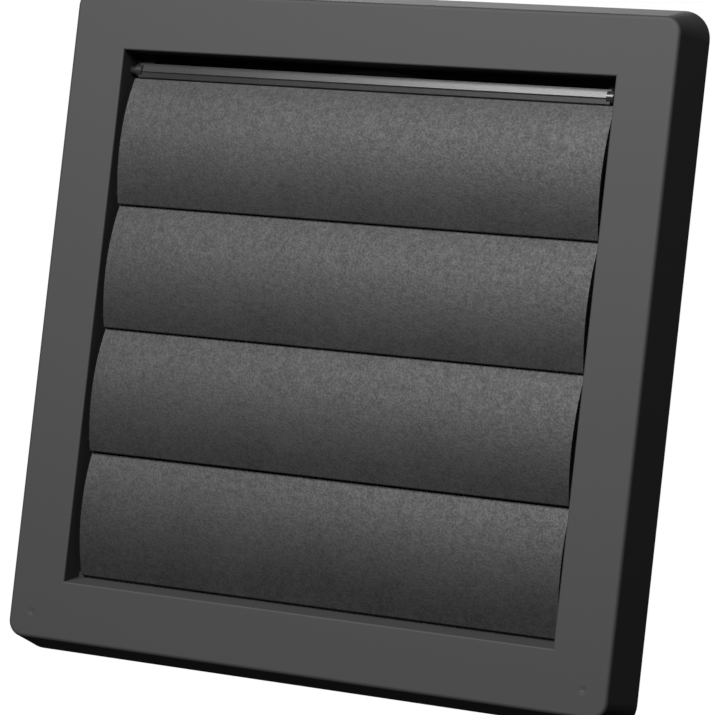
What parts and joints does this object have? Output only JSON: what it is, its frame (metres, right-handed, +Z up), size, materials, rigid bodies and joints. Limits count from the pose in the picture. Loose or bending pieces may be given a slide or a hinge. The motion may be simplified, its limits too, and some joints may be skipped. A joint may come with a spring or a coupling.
{
  "type": "gravity flap vent grille",
  "caption": "Square wall outlet for a round air duct: a flat flared frame holds bowed flaps that hang closed on pivot pins and lift when air is blown out.",
  "frame": {"origin": "centre of the round spigot in the plane of the wall", "axes": "+Y into the wall along the spigot, +Z up, the flaps face -Y"},
  "size_m": [0.184, 0.0444, 0.184],
  "materials": {
    "cover_plastic": "fine eroded texture, black",
    "flap_plastic": "fine eroded texture with a smoother hinge bar, black",
    "plate_plastic": "smooth moulded, black"
  },
  "bodies": {
    "housing": {"front_cover": "cover_plastic", "back_plate": "plate_plastic"},
    "flap_a": {"flap_1": "flap_plastic"},
    "flap_b": {"flap_2": "flap_plastic"},
    "flap_c": {"flap_3": "flap_plastic"},
    "flap_d": {"flap_4": "flap_plastic"}
  },
  "joints": [
    {"name": "flap_1_hinge", "type": "hinge", "parent": "housing", "child": "flap_a", "pos_m": [0, -0.0068, 0.068], "axis": [-1, 0, 0], "range_deg": [0, 80]},
    {"name": "flap_2_hinge", "type": "hinge", "parent": "housing", "child": "flap_b", "pos_m": [0, -0.0068, 0.0342], "axis": [-1, 0, 0], "range_deg": [0, 80]},
    {"name": "flap_3_hinge", "type": "hinge", "parent": "housing", "child": "flap_c", "pos_m": [0, -0.0068, 0.0004], "axis": [-1, 0, 0], "range_deg": [0, 80]},
    {"name": "flap_4_hinge", "type": "hinge", "parent": "housing", "child": "flap_d", "pos_m": [0, -0.0068, -0.0334], "axis": [-1, 0, 0], "range_deg": [0, 80]}
  ],
  "couplings": [
    {"joint": "flap_2_hinge", "follows": "flap_1_hinge", "ratio": 1},
    {"joint": "flap_3_hinge", "follows": "flap_1_hinge", "ratio": 1},
    {"joint": "flap_4_hinge", "follows": "flap_1_hinge", "ratio": 1}
  ]
}
